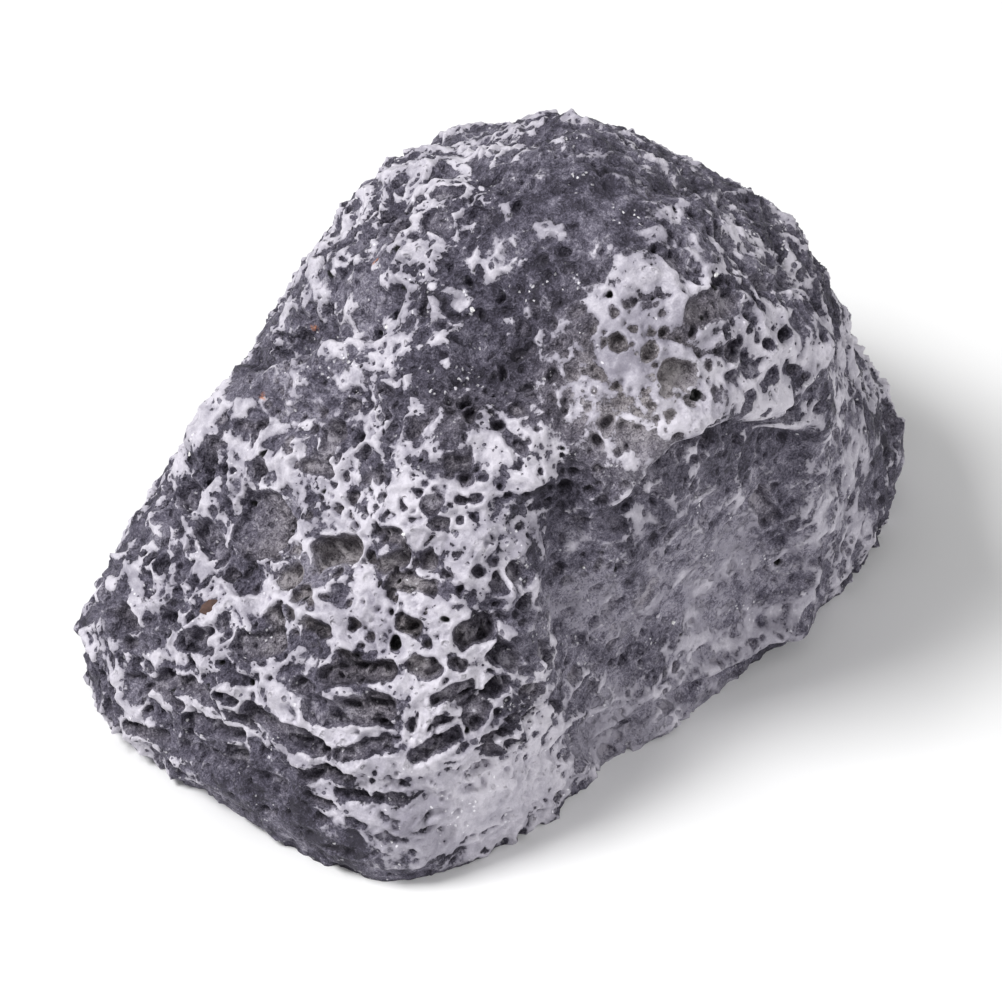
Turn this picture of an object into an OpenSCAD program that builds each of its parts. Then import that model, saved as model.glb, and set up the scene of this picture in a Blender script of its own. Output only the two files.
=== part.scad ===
// Hollow cast-resin rock ornament with a hidden compartment in its underside.
// Frame: origin at the centre of the footprint on the resting plane, +Z up,
// +X along the length, towards the end the hatch slides out of. Millimetres.
// Front is -Y, back +Y, left -X and right +X.

/* [Rock] */
// Length of the rock, along X
rock_length = 90; // [86:1:100]
// Width of the rock, along Y
rock_width = 70; // [68:1:80]
// Height of the rock
rock_height = 56; // [54:1:64]
// Wall between the outside and the hollow
wall = 5.5; // [4.5:0.5:7]
// Roughness of the cast surface
lump = 0.5; // [0:0.1:0.8]
// Points round the rock
steps = 72; // [48:12:96]

/* [Compartment] */
// Inside length of the compartment
comp_length = 56; // [50:1:57]
// Inside width of the compartment
comp_width = 26; // [22:1:27]
// Inside depth of the compartment, from the underside of its flange
comp_depth = 13; // [10:0.5:13.5]
// Wall of the moulded tray
tray_wall = 1.5; // [1.2:0.1:1.8]

/* [Hatch] */
// Length of the sliding hatch
lid_length = 66; // [62:1:67]
// Thickness of the sliding hatch
lid_thick = 1.8; // [1.4:0.1:1.8]
// Gap between the hatch and its rails
lid_gap = 0.1; // [0.05:0.05:0.2]

/* [Grit] */
// Size of the largest mineral chip
chip = 3.2; // [2:0.2:4]

/* [Hidden] */
$fn = 48;
overlap = 0.01;               // small overshoot of a cut
cut = 1;                      // overshoot of a through cut

// ---- heights of the stack in the underside, from the resting plane up ----
rail_z = 0.8;                 // lowest face of the tray's rails
lip_thick = 0.7;              // lip the hatch runs on
lid_z = rail_z + lip_thick + lid_gap;
flange_z = 3.5;               // underside of the tray's flange
flange_thick = 1.5;
rail_height = flange_z - rail_z;
gasket_thick = 0.8;
gasket_z = flange_z + flange_thick;
plate_z = gasket_z + gasket_thick;
plate_thick = 4;
seat_z = plate_z + plate_thick;   // ceiling of the seat in the rock
ledge_z = seat_z + 3;             // top of the ledge above the seat

// ---- plan sizes shared by several pieces ----
seat_length = 72;
seat_width = 40;
seat_corner = 10;
flange_inset = 1;             // flange and gasket, in from the seat
tray_corner = 2;
tray_fit = 0.2;               // gap round the tray in plate and gasket
lid_width = comp_width + 7;
screw_x = comp_length/2 + tray_wall + 2.9;
screw_y = 9;
shank_d = 1.6;
head_d = [3.5, 1.9];          // screw head, at its face and at its neck
head_height = 1;

// ---- the rock as a star-shaped solid round the centre of its base ----
// Broad faces: compass direction from +X, upward tilt, distance from the centre
broad_faces = [
  [180, -4, 44], [-141, -3, 48.5], [-96, 2, 33], [-70, 7, 42], [-37, 2, 59],
  [-4, 10, 45], [44, 9, 38.5], [97, 12, 34], [139, 2, 47],
  [108, 27, 34], [176, 44, 42], [-136, 39, 46], [-85, 39, 52], [-36, 34, 50],
  [11, 49, 49], [80, 50, 45], [150, 52, 42.5], [-20, 80, 66]
];
// Ridges and hollows: from (direction, tilt) to (direction, tilt), height
// (minus for a hollow), half width in degrees
swells = [
  [-126, 72, -122, 52, -2.2, 9],   // gully from the crown
  [-123, 46, -120,  6, -4.0, 8],   // crease down the front
  [-104, 24,  -80, 24, -3.0, 13],  // hollow in the front
  [-100, 53,  -76, 50,  2.0, 8],   // lip over the hollow
  [ -62, 46,  -66, 10,  2.0, 7],   // ridge between front and right end
  [-150, 60, -130, 54,  3.0, 12],  // shoulder of the front left lobe
  [ -92, 64,  -72, 58,  2.0, 11],  // second shoulder
  [-100, 78,  -62, 72, -1.5, 9],   // saddle below the crown
  [ 134, 52,  172, 72, -1.8, 5],   // crease on the back left slope
  [ 148, 50,  172, 64,  1.2, 5],   // ridge beside that crease
  [ 168, 38,  168, 38, -1.2, 7],   // shallow dish in the left end
  [-106,  3,  -68,  2,  1.4, 4.5], // foot along the front
  [-110, 11,  -68, 10, -1.2, 4],   // groove above the foot
  [-134, 14, -128, 22,  1.0, 8],   // belly of the front left lobe
  [  75, 62,   62, 63,  1.4, 8],   // back shoulder
  [  35, 80,   20, 78, -1.4, 8],   // notch beside the crown
  [ -25, 68,  -18, 66,  1.6, 7],   // crown
  [ -34, 54,  -30, 50,  1.2, 7],   // knob on the front right shoulder
  [ -34, 28,  -34, 20, -1.2, 8],   // flat at the front right
  [  30, 30,   70, 34,  1.5, 12],  // swelling on the back right
  [  62, 54,   58, 16, -1.8, 7]    // gully down the back
];
// Tilts of the rings of points, outside and in the hollow
outer_tilts = [0, 2, 4.5, 7.5, 11, 15, 19.5, 24, 29, 34, 39, 44, 49, 54, 59, 64, 69, 74, 79, 84.5];
inner_tilts = [0, 12, 22, 32, 42, 52, 62, 72, 82];
inner_steps = 36;
sharpness = 14;               // how crisply the broad faces meet
foot_depth = 1.6;             // how far the foot rolls under at the resting plane
foot_tilt = 4.5;              // degrees over which it does so
// from the size the tables give to the size wanted
stretch = [rock_length/90, rock_width/72, rock_height/55.6];

function unit(dir, tilt) = [cos(tilt)*cos(dir), cos(tilt)*sin(dir), sin(tilt)];
function total(list, i = 0) = i == len(list) ? 0 : list[i] + total(list, i + 1);

face_dirs = [for (f = broad_faces) unit(f[0], f[1])];
swell_starts = [for (s = swells) unit(s[0], s[1])];
swell_ends = [for (s = swells) unit(s[2], s[3])];

// radius of the broad faces, blended, along unit vector ray
function core_radius(ray) = pow(total([for (i = [0:len(face_dirs) - 1])
    pow(max(0, ray*face_dirs[i])/broad_faces[i][2], sharpness)]), -1/sharpness);

// angle, nearly, from ray to the line between two unit vectors
function off_line(ray, start, end) =
    let (line = end - start,
         square = line*line,
         along = square < 1e-6 ? 0 : min(1, max(0, (ray - start)*line/square)))
    norm(ray - start - along*line)*180/PI;

function swell_radius(ray) = total([for (i = [0:len(swells) - 1])
    let (angle = off_line(ray, swell_starts[i], swell_ends[i]))
    swells[i][4]*exp(-pow(angle/swells[i][5], 2))]);

// three crossing sets of waves, fading out towards the top
function lump_radius(dir, tilt) = lump*cos(tilt)*(
    sin(11*dir + 4*tilt)
    + sin(17*dir - 9*tilt)*sin(13*tilt)
    + sin(7*dir + 60)*sin(19*tilt + 40));

function rock_radius(dir, tilt) =
    let (ray = unit(dir, tilt))
    core_radius(ray) + swell_radius(ray) + lump_radius(dir, tilt)
    - foot_depth*exp(-pow(tilt/foot_tilt, 2));

function rock_point(dir, tilt, inset = 0) =
    let (point = (rock_radius(dir, tilt) - inset)*unit(dir, tilt))
    [for (axis = [0:2]) point[axis]*stretch[axis]];

// rings of points at the given tilts, closed by a flat base and a top point
module rock_solid(tilts, around, inset) {
  last = len(tilts) - 1;
  top = len(tilts)*around;
  rings = [for (tilt = tilts) for (j = [0:around - 1]) rock_point(j*360/around, tilt, inset)];
  sides = [for (i = [0:last - 1]) for (j = [0:around - 1])
    let (a = i*around + j, b = i*around + (j + 1)%around)
    each [[a, a + around, b + around], [a, b + around, b]]];
  cap = [for (j = [0:around - 1]) [last*around + j, top, last*around + (j + 1)%around]];
  base = [for (j = [0:around - 1]) j];
  polyhedron(points = concat(rings, [rock_point(0, 90, inset)]),
             faces = concat(sides, cap, [base]), convexity = 6);
}

// ---- shared shapes ----
module lift(z) translate([0, 0, z]) children();

// rectangle with round corners
module slab(length, width, corner, height) linear_extrude(height) {
  square([length - 2*corner, width], center = true);
  square([length, width - 2*corner], center = true);
  for (x = [-1, 1], y = [-1, 1])
    translate([x*(length/2 - corner), y*(width/2 - corner)]) circle(corner);
}

// outline of the seat, drawn in by inset
module seat_slab(inset, height)
  slab(seat_length - 2*inset, seat_width - 2*inset, seat_corner - inset, height);

// outline of the compartment, let out by margin
module comp_slab(margin, corner, height)
  slab(comp_length + 2*margin, comp_width + 2*margin, corner, height);

module at_screws() for (x = [-1, 1], y = [-1, 1])
  translate([x*screw_x, y*screw_y, 0]) children();

module screw_holes(diameter, thick)
  at_screws() lift(-cut) cylinder(d = diameter, h = thick + 2*cut);

// sheet in the seat, open for the tray and drilled for the screws
module seat_sheet(inset, thick, hole_d) difference() {
  seat_slab(inset, thick);
  lift(-cut) comp_slab(tray_wall + tray_fit, tray_corner + tray_fit, thick + 2*cut);
  screw_holes(hole_d, thick);
}

// ring round the compartment's mouth; play narrows it on both edges,
// below carries its outer part under z = 0
module mouth_ring(play, height, below = 0) difference() {
  lift(-below) comp_slab(2.2 - play, 3.2 - play, height + below);
  lift(-cut) comp_slab(0.7 + play, 2 + play, 3);
}

// ---- cast resin shell ----
tray_room = 0.8;              // space round and above the tray
hollow_box = [120, 120, 80];  // bounds of the hollow above the ledge
slot_x = 20;                  // inner end of the slot the hatch leaves by
slot = [50, 38, 4.4];         // its length, width and height

module rock_shell() color([0.42, 0.41, 0.45]) difference() {
  rock_solid(outer_tilts, steps, 0);
  intersection() {                                         // hollow
    rock_solid(inner_tilts, inner_steps, wall);
    translate([-hollow_box[0]/2, -hollow_box[1]/2, ledge_z]) cube(hollow_box);
  }
  lift(-cut) seat_slab(0, seat_z + cut);                   // seat
  seat_slab(3, ledge_z + 1);                               // way up to the hollow
  comp_slab(tray_wall + tray_room, 3, flange_z + comp_depth + tray_wall + tray_room);
  translate([slot_x, -slot[1]/2, -cut]) cube([slot[0], slot[1], slot[2] + cut]);
}

// ---- mineral chips pressed into the surface ----
// direction, tilt, turn, size as a share of the largest chip
chips = [
  [175, 30, 20, 1.0], [-142, 76, 35, 0.7], [177, 73, 10, 0.6], [-75, 62, 50, 0.5],
  [-96, 22, 15, 0.5], [150, 40, 70, 0.45], [-118, 40, 30, 0.4], [-152, 47, 25, 0.5],
  [20, 30, 15, 0.7], [100, 35, 40, 0.6], [62, 50, 0, 0.5], [-30, 24, 60, 0.55]
];
brown = [0.36, 0.24, 0.19];   // the largest chip
white = [0.86, 0.85, 0.86];   // the others

// block with its corners cut by a second, tilted block
module chip_stone(size) intersection() {
  cube([size, 0.75*size, 0.8*size], center = true);
  rotate([25, 20, 38]) cube([size, 0.9*size, 1.1*size], center = true);
}

module grit_chips() for (c = chips)
  color(c[3] > 0.9 ? brown : white)
    translate(rock_point(c[0], c[1]))
      rotate([0, 90 - c[1], c[0]]) rotate([8, 12, c[2]])
        chip_stone(c[3]*chip);

// ---- floor of the hollow, bonded into the seat ----
module base_plate() color([0.16, 0.16, 0.17])
  lift(plate_z) seat_sheet(0.1, plate_thick, shank_d);

// ---- foam ring between the tray's flange and the floor ----
module tray_gasket() color([0.08, 0.08, 0.08])
  lift(gasket_z) seat_sheet(flange_inset, gasket_thick, 2.6);

// ---- moulded tray: box above, rails for the hatch below ----
rail_y = lid_width/2 + lid_gap;   // inner face of a rail
rail_width = 3;
rail_reach = 40;              // half length, before trimming to the flange
lip_reach = 1.2;              // lip, in from the rail's inner face
lip_root = 1;                 // lip, into the rail
groove_depth = 0.8;           // groove for the seal

// bar along X on one side, from its inner face at y outwards
module rail_bar(side, y, width, height)
  translate([-rail_reach, side > 0 ? y : -y - width, rail_z])
    cube([2*rail_reach, width, height]);

module rails() intersection() {
  lift(rail_z) seat_slab(flange_inset, rail_height);
  union() {
    for (side = [-1, 1]) {
      rail_bar(side, rail_y, rail_width, rail_height);
      rail_bar(side, rail_y - lip_reach, lip_reach + lip_root, lip_thick);
    }
    translate([-rail_reach, -seat_width/2, rail_z])        // end stop
      cube([rail_reach - lid_length/2 - lid_gap, seat_width, rail_height]);
  }
}

module compartment_tray() color([0.10, 0.10, 0.11]) difference() {
  union() {
    lift(flange_z) seat_slab(flange_inset, flange_thick);
    lift(flange_z) comp_slab(tray_wall, tray_corner, comp_depth + tray_wall);
    rails();
  }
  lift(flange_z - cut) comp_slab(0, 1.5, comp_depth + cut);
  lift(flange_z) {
    mouth_ring(0, groove_depth, overlap);
    screw_holes(2.2, flange_thick);
    at_screws() lift(-overlap)                             // countersinks
      cylinder(d1 = head_d[0] + 0.2, d2 = head_d[1] + 0.2, h = head_height);
  }
}

// ---- foam strip in the groove round the compartment's mouth ----
module lid_seal() color([0.06, 0.06, 0.06]) lift(flange_z) mouth_ring(0.1, 0.75);

// ---- four countersunk screws ----
drive = [1.8, 0.4, 0.5];      // each slot of the cross: length, width, depth

module tray_screws() color([0.62, 0.63, 0.65]) at_screws() lift(flange_z) difference() {
  union() {
    cylinder(d1 = head_d[0], d2 = head_d[1], h = head_height);
    cylinder(d = shank_d, h = seat_z - flange_z - 0.5);
  }
  for (turn = [0, 90])
    rotate([0, 0, turn]) translate([-drive[0]/2, -drive[1]/2, -overlap]) cube(drive);
}

// ---- sliding hatch ----
lid_corner = 1.2;
ridge_start = 4;              // outermost thumb ridge, in from the hatch's end
ridge_pitch = 2;
notch_r = 6;                  // finger notch
notch_out = 4;                // its centre, beyond the hatch's end

module sliding_lid() color([0.11, 0.11, 0.12]) difference() {
  union() {
    lift(lid_z) slab(lid_length, lid_width, lid_corner, lid_thick);
    for (i = [0:5])                                        // thumb ridges
      translate([lid_length/2 - ridge_start - ridge_pitch*i, 0, lid_z])
        rotate([90, 0, 0]) cylinder(d = 1, h = 18, center = true);
  }
  translate([lid_length/2 + notch_out, 0, lid_z - cut])
    cylinder(r = notch_r, h = lid_thick + 2*cut);
}

rock_shell();
grit_chips();
base_plate();
tray_gasket();
compartment_tray();
tray_screws();
lid_seal();
sliding_lid();
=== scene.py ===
"""Hollow resin rock ornament, about 90 x 70 x 56 mm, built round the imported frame.

The rock stands on z = 0 with its long side along X. Its skin is a grid spread over the upper
half of a sphere, pushed out to a faceted core and then carved. The seat, hollow and hatch slot
are cut from below; the slot runs out towards +X. Sizes are in mm until a mesh is made. Places
on the rock are directions in degrees: azimuth (0 is +X, 90 is +Y) and tilt above the floor.
"""
import math
from functools import cached_property

import bmesh
import bpy
import numpy as np
from mathutils import Matrix, Vector


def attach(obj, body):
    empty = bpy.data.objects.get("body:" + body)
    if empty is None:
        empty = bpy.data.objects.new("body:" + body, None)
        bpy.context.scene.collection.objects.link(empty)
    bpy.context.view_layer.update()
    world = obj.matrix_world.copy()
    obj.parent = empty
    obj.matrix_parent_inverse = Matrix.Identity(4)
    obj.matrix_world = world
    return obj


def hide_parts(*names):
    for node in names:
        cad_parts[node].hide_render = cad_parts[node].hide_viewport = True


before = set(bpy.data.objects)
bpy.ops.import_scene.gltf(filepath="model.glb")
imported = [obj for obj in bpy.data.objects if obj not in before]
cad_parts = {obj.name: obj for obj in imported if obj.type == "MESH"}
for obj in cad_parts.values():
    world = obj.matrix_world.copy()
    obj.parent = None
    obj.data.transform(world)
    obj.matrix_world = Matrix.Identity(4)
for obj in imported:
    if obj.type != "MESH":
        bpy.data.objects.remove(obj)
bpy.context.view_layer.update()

MM = 0.001
DEG = math.pi / 180

# ---- noise ----
rng = np.random.RandomState(7)
PERM = rng.permutation(256).astype(np.int32)
PERM = np.concatenate([PERM, PERM, PERM])
GRAD = rng.normal(size=(256, 3)).astype(np.float32)
GRAD /= np.linalg.norm(GRAD, axis=1, keepdims=True)
RANDOM = rng.random_sample((256, 8)).astype(np.float32)
JITTER = 0.86  # how far cell centres stray, as a share of the cell


def hashed(i, j, k, seed):
    return PERM[(PERM[(PERM[(i + seed) & 255] + j) & 255] + k) & 255]


def noise(points, scale, seed):
    """Gradient noise, about -0.7 to 0.7; scale is the wavelength in mm."""
    q = np.asarray(points, np.float32) / np.float32(scale) + np.float32(seed * 3.17)
    i = np.floor(q).astype(np.int32)
    f = q - i
    u = f * f * f * (f * (f * 6 - 15) + 10)
    out = 0
    for dx in (0, 1):
        wx = u[:, 0] if dx else 1 - u[:, 0]
        for dy in (0, 1):
            wy = u[:, 1] if dy else 1 - u[:, 1]
            for dz in (0, 1):
                wz = u[:, 2] if dz else 1 - u[:, 2]
                g = GRAD[hashed(i[:, 0] + dx, i[:, 1] + dy, i[:, 2] + dz, seed)]
                out = out + wx * wy * wz * (
                    g[:, 0] * (f[:, 0] - dx) + g[:, 1] * (f[:, 1] - dy) + g[:, 2] * (f[:, 2] - dz)
                )
    return out


def noise3(points, scale, seed):
    """Vector noise from three seeds in a row."""
    return np.stack([noise(points, scale, seed + i) for i in range(3)], -1)


def fractal(points, scale, seed):
    """Two octaves of noise."""
    return noise(points, scale, seed) + 0.5 * noise(points, scale / 2, seed + 11)


def ridged(points, scale, octaves, seed):
    """Sharp crests, 0 to 1."""
    out, gain, total = 0, 1.0, 0.0
    for octave in range(octaves):
        n = noise(points, scale / 2**octave, seed + 13 * octave)
        n = 1 - np.clip(np.abs(n) * 2.2, 0, 1)
        out = out + gain * n * n
        total += gain
        gain *= 0.5
    return out / total


def cells(points, cell, seed, stretch=None):
    """Cell noise: distance to the nearest centre and to the cell's border, in mm,
    the cell's random numbers, and the vector from its centre."""
    q = np.asarray(points, np.float32) / np.float32(cell)
    if stretch is not None:
        q = q * np.asarray(stretch, np.float32)
    i = np.floor(q).astype(np.int32)
    first = np.full(len(q), 99.0, np.float32)
    second = np.full(len(q), 99.0, np.float32)
    who = np.zeros(len(q), np.int32)
    offset = np.zeros((len(q), 3), np.float32)
    for dx in (-1, 0, 1):
        for dy in (-1, 0, 1):
            for dz in (-1, 0, 1):
                c = i + np.array([dx, dy, dz], np.int32)
                key = hashed(c[:, 0], c[:, 1], c[:, 2], seed)
                stray = np.float32(JITTER) * (RANDOM[key, :3] - np.float32(0.5))
                d = q - (c + np.float32(0.5) + stray)
                dist = (d * d).sum(1)
                nearer = dist < first
                second = np.where(nearer, first, np.minimum(second, dist))
                who = np.where(nearer, key, who)
                offset = np.where(nearer[:, None], d, offset)
                first = np.minimum(first, dist)
    first, second = np.sqrt(first), np.sqrt(second)
    return first * cell, (second - first) * 0.5 * cell, RANDOM[who], offset * cell


def smooth(low, high, x):
    t = np.clip((x - low) / (high - low), 0, 1)
    return t * t * (3 - 2 * t)


def standard(values):
    """Shifted and scaled to mean 0 and deviation 1."""
    return (values - values.mean()) / (values.std() + 1e-9)


# ---- core: the broad faces, ridges and hollows of the CAD shell ----
# azimuth, tilt, distance from the origin
FACES = [
    (180, -4, 44), (-141, -3, 48.5), (-96, 2, 33), (-70, 7, 42), (-37, 2, 59),
    (-4, 10, 45), (44, 9, 38.5), (97, 12, 34), (139, 2, 47),
    (108, 27, 34), (176, 44, 42), (-136, 39, 46), (-85, 39, 52), (-36, 34, 50),
    (11, 49, 49), (80, 50, 45), (150, 52, 42.5), (-20, 80, 66),
]
# azimuth and tilt of both ends, height, half width in degrees
SWELLS = [
    (-126, 72, -122, 52, -2.2, 9), (-123, 46, -120, 6, -4.0, 8), (-104, 24, -80, 24, -3.0, 13),
    (-100, 53, -76, 50, 2.0, 8), (-62, 46, -66, 10, 2.0, 7), (-150, 60, -130, 54, 3.0, 12),
    (-92, 64, -72, 58, 2.0, 11), (-100, 78, -62, 72, -1.5, 9), (134, 52, 172, 72, -1.8, 5),
    (148, 50, 172, 64, 1.2, 5), (168, 38, 168, 38, -1.2, 7), (-106, 3, -68, 2, 1.4, 4.5),
    (-110, 11, -68, 10, -1.2, 4), (-134, 14, -128, 22, 1.0, 8), (75, 62, 62, 63, 1.4, 8),
    (35, 80, 20, 78, -1.4, 8), (-25, 68, -18, 66, 1.6, 7), (-34, 54, -30, 50, 1.2, 7),
    (-34, 28, -34, 20, -1.2, 8), (30, 30, 70, 34, 1.5, 12), (62, 54, 58, 16, -1.8, 7),
]
STRETCH = np.array([90 / 90, 70 / 72, 56 / 55.6])  # wanted size over core size, per axis


def unit(azimuth, tilt):
    azimuth, tilt = np.asarray(azimuth, float) * DEG, np.asarray(tilt, float) * DEG
    across = np.cos(tilt)
    return np.stack([across * np.cos(azimuth), across * np.sin(azimuth), np.sin(tilt)], -1)


def off_line(d, start, end):
    """Angle in degrees from directions d to the line from start to end."""
    run = end - start
    length2 = float(run @ run)
    t = np.clip(((d - start) @ run) / length2, 0, 1) if length2 > 1e-6 else np.zeros(len(d))
    return np.linalg.norm(d - start - t[:, None] * run, axis=1) / DEG


def core_radius(d):
    total = 0
    for azimuth, tilt, distance in FACES:
        total = total + (np.clip(d @ unit(azimuth, tilt), 0, None) / distance) ** 14
    r = total ** (-1 / 14)
    for az1, tilt1, az2, tilt2, amount, width in SWELLS:
        off = off_line(d, unit(az1, tilt1), unit(az2, tilt2))
        r = r + amount * np.exp(-((off / width) ** 2))
    return r


# ---- grid over the dome ----
GRID = 640


def square_to_dome(n):
    """n by n grid spread evenly over the upper half of a sphere; its edge is the rim."""
    a, b = np.meshgrid(np.linspace(-1, 1, n), np.linspace(-1, 1, n), indexing="xy")
    a, b = a.ravel(), b.ravel()
    big = np.abs(a) >= np.abs(b)
    r = np.where(big, a, b)
    with np.errstate(divide="ignore", invalid="ignore"):
        phi = np.where(big, math.pi / 4 * b / a, math.pi / 2 - math.pi / 4 * a / b)
    phi = np.where(np.isfinite(phi), phi, 0.0)
    x, y = r * np.cos(phi), r * np.sin(phi)
    rr = np.minimum(x * x + y * y, 1.0)
    k = np.sqrt(np.maximum(2 - rr, 0))
    d = np.stack([x * k, y * k, 1 - rr], -1)
    d /= np.linalg.norm(d, axis=1, keepdims=True)
    return d, a, b


def grid_normals(points):
    grid = points.reshape(GRID, GRID, 3)
    n = np.cross(np.gradient(grid, axis=1), np.gradient(grid, axis=0))
    n /= np.linalg.norm(n, axis=2, keepdims=True) + 1e-12
    return n.reshape(-1, 3)


def blur(values, times):
    g = values.reshape(GRID, GRID).astype(np.float64)
    for _ in range(times):
        p = np.pad(g, 1, mode="edge")
        g = (p[:-2, 1:-1] + p[2:, 1:-1] + p[1:-1, :-2] + p[1:-1, 2:] + 4 * g) / 8
    return g.ravel()


dirs, square_a, square_b = square_to_dome(GRID)
dir_tilt = np.arcsin(np.clip(dirs[:, 2], -1, 1)) / DEG
# the core draws in by up to 1.6 mm at the foot
base_radius = core_radius(dirs) - 1.6 * np.exp(-((dir_tilt / 4.5) ** 2))
base = dirs * base_radius[:, None] * STRETCH
base_normals = grid_normals(base)
if (base_normals * dirs).sum(1).mean() < 0:
    base_normals = -base_normals
pos = base.astype(np.float32)
normals = base_normals.astype(np.float32)

# ---- regions: soft spots of (azimuth, tilt, half width in degrees, amount) ----
# how much pale coat there is, over and above the all-over share
PALE = [
    (-80, 81, 11, -0.7), (-51, 74, 10, -0.6), (-121, 72, 8, -1.0), (-137, 68, 6, -0.7),
    (-120, 52, 8, -1.3), (-122, 40, 6, -1.2), (-121, 25, 7, -1.0), (-175, 1, 9, -1.5),
    (-161, 1, 9, -1.8), (-149, 1, 7, -1.3), (-138, 1, 5, -0.3), (-143, 6, 4.5, 1.1),
    (-150, 0.5, 4, -1.2), (-45, 7, 6, -1.5), (154, 57, 7, -0.6), (-30, 60, 12, -0.5),
    (-104, 62, 4, 0.8), (-100, 58, 4, 0.8), (-126, 58, 4, -0.4), (-131, 61, 4, 0.7),
    (-136, 48, 6, 0.9), (-139, 22, 6, 0.4), (-134, 11, 7, 2.6), (-144, 12, 5, 1.0),
    (85, 80, 8, 0.5), (-61, 72, 3, 1.0), (-74, 66, 4, 0.8), (-94, 78, 2.5, 1.8), (-41, 24, 4, 0.8),
    (177, 74, 4, 0.9), (-155, 82, 5, 0.6), (-87, 60, 4, 0.5), (-80, 50, 6, 1.0), (-68, 52, 4, 0.5),
    (-150, 40, 10, 0.4), (-165, 45, 10, 0.3), (-88, 28, 16, -0.5), (-90, 4, 10, 0.3),
    (-175, 79, 4, 1.0), (-80, 70, 3.5, 0.9), (-90, 67, 4, 1.1), (-97, 64, 4, 2.3),
    (-88, 76, 4, -1.4), (-100, 72, 4, -0.7), (150, 75, 4, -0.8), (-114, 69, 5, 1.3),
    (168, 72, 4, -0.7), (-106, 54, 4, -1.0), (-107, 66, 4, -0.2), (155, 17, 5, -0.8),
    (177, 58, 5, -1.0), (-167, 73, 4, 0.7), (-139, 43, 4, 0.8), (-117, 53, 4, 0.5),
    (171, 31, 4, 1.4), (-139, 36, 5, 1.0), (-160, 15, 5, 0.5), (-140, 24, 5, 1.4),
    (-119, 11, 4, 0.5), (-132, 5, 6, 1.6), (-56, 22, 5, 1.5), (-174, 65, 4, 0.8),
    (-139, 50, 5, 1.3), (-129, 48, 4, 1.1), (-57, 10, 7, 1.3), (-157, 35, 5, 2.6),
    (-148, 36, 4, 0.5), (178, 22, 7, 0.9), (-153, 17, 6, 1.8), (-148, 10, 7, 2.0),
    # painted light: the spot at (-112, 9) adds pale coat on the foot, which the lamps leave in
    # shade
    (-140, 9, 6, 2.0), (-112, 9, 6, 1.8), (163, 26, 4, 0.6), (152, 56, 5, -1.8), (0, 89, 4, 0.7),
    (-57, 64, 4, -0.8), (-46, 32, 6, 0.8), (119, 76, 5, -0.6), (159, 74, 4, -1.2),
    # painted shade: the spots at (-97, 46.5), (-88, 46) and (-80, 42) take away pale coat in the
    # strip under the ledge lip
    (-169, 39, 5, -2.2), (-118, 3, 6, 1.0), (-97, 46.5, 3, -0.4), (-88, 46, 3, -0.3),
    (-80, 42, 3, -0.4), (-118, 28, 5, 0.7), (-75, 12, 6, 0.5), (-99, 38, 4, -0.3),
    (-106, 28, 6, 0.7), (-91, 20, 5, 1.2), (-108, 45, 4, 1.4), (-128, 54, 4, 0.7),
    (-129, 47, 4, 0.7), (-160, 15, 4, 1.0), (-120, 71, 5, 0.5), (-140, 9, 4, 0.6),
    (-56, 22, 5, 0.8), (-66, 66, 4, -1.3), (-169, 39, 4, -1.4), (151, 17, 5, -0.6),
    (-131, 29, 4, -0.5), (-169, 3, 6, -1.0), (-163, 53, 4, -0.5), (156, 30, 4, -1.6),
    (164, 24, 3, 0.8),
]
# where the skin is worn smooth: soft shallow pits and soft-edged coat
SMOOTH = [
    (-88, 30, 15, 1.0), (-76, 20, 13, 0.8), (-106, 32, 10, 0.9), (-121, 44, 7, 0.6),
    (-122, 24, 6, 0.6), (-161, 1, 9, 1.0), (-149, 1, 9, 1.0), (-175, 1, 8, 0.8), (-90, 3, 9, 0.9),
    (-72, 3, 9, 0.9), (-136, 8, 7, 1.0), (-146, 9, 7, 0.7), (-82, 77, 9, 0.6), (-60, 76, 8, 0.5),
    (-50, 18, 10, 0.7), (-112, 66, 7, 0.5), (-108, 60, 6, 0.5), (-113, 3, 9, 0.8),
    (-45, 24, 9, 0.6), (-57, 33, 9, 0.55), (60, 20, 16, 0.6), (-5, 50, 14, 0.5),
    (110, 45, 10, 0.5), (160, 62, 12, 0.5),
]
# how light the dark coat is
SLATE = [
    (-88, 30, 15, 0.32), (-76, 20, 13, 0.25), (-106, 25, 10, 0.15), (-90, 4, 12, 0.4),
    (-120, 50, 8, -0.15), (-121, 72, 9, -0.2), (-80, 79, 10, -0.1), (-161, 2, 10, -0.25),
    (-45, 7, 7, -0.3), (-100, 52, 9, 0.25), (-165, 40, 16, 0.12), (-136, 9, 7, 0.4),
    # painted shade: the spots at (-97, 46.5), (-88, 45.5) and (-80, 42) darken the dark coat under
    # the ledge lip
    (165, 62, 10, 0.12), (-138, 1, 6, -0.3), (-97, 46.5, 4, -0.15), (-88, 45.5, 3.5, -0.1),
    (-80, 42, 4, -0.25), (-118, 30, 6, 0.25), (-118, 3, 6, 0.5), (-104, 2, 6, 0.3),
    (-57, 33, 9, 0.15), (-106, 28, 6, 0.15), (-119, 11, 6, 0.3), (-119, 36, 8, 0.5),
    (-57, 12, 9, 0.4), (-57, 24, 6, 0.2), (-107, 66, 5, 0.15), (-98, 63, 5, 0.12),
    # painted light: the spot at (-113, 9) lightens the foot, which the lamps leave in shade
    (-96, 62, 8, 0.12), (-139, 51, 5, 0.1), (-113, 9, 8, 0.85), (-108, 60, 7, 0.04),
    (-91, 20, 7, 0.45), (-112, 68, 6, 0.15), (-100, 4, 8, 0.2),
]
# how light the pale coat is
LIGHTER = [(-138, 9, 8, 0.28), (-57, 20, 8, 0.15), (-91, 20, 7, 0.12), (-128, 52, 6, 0.12)]
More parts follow.
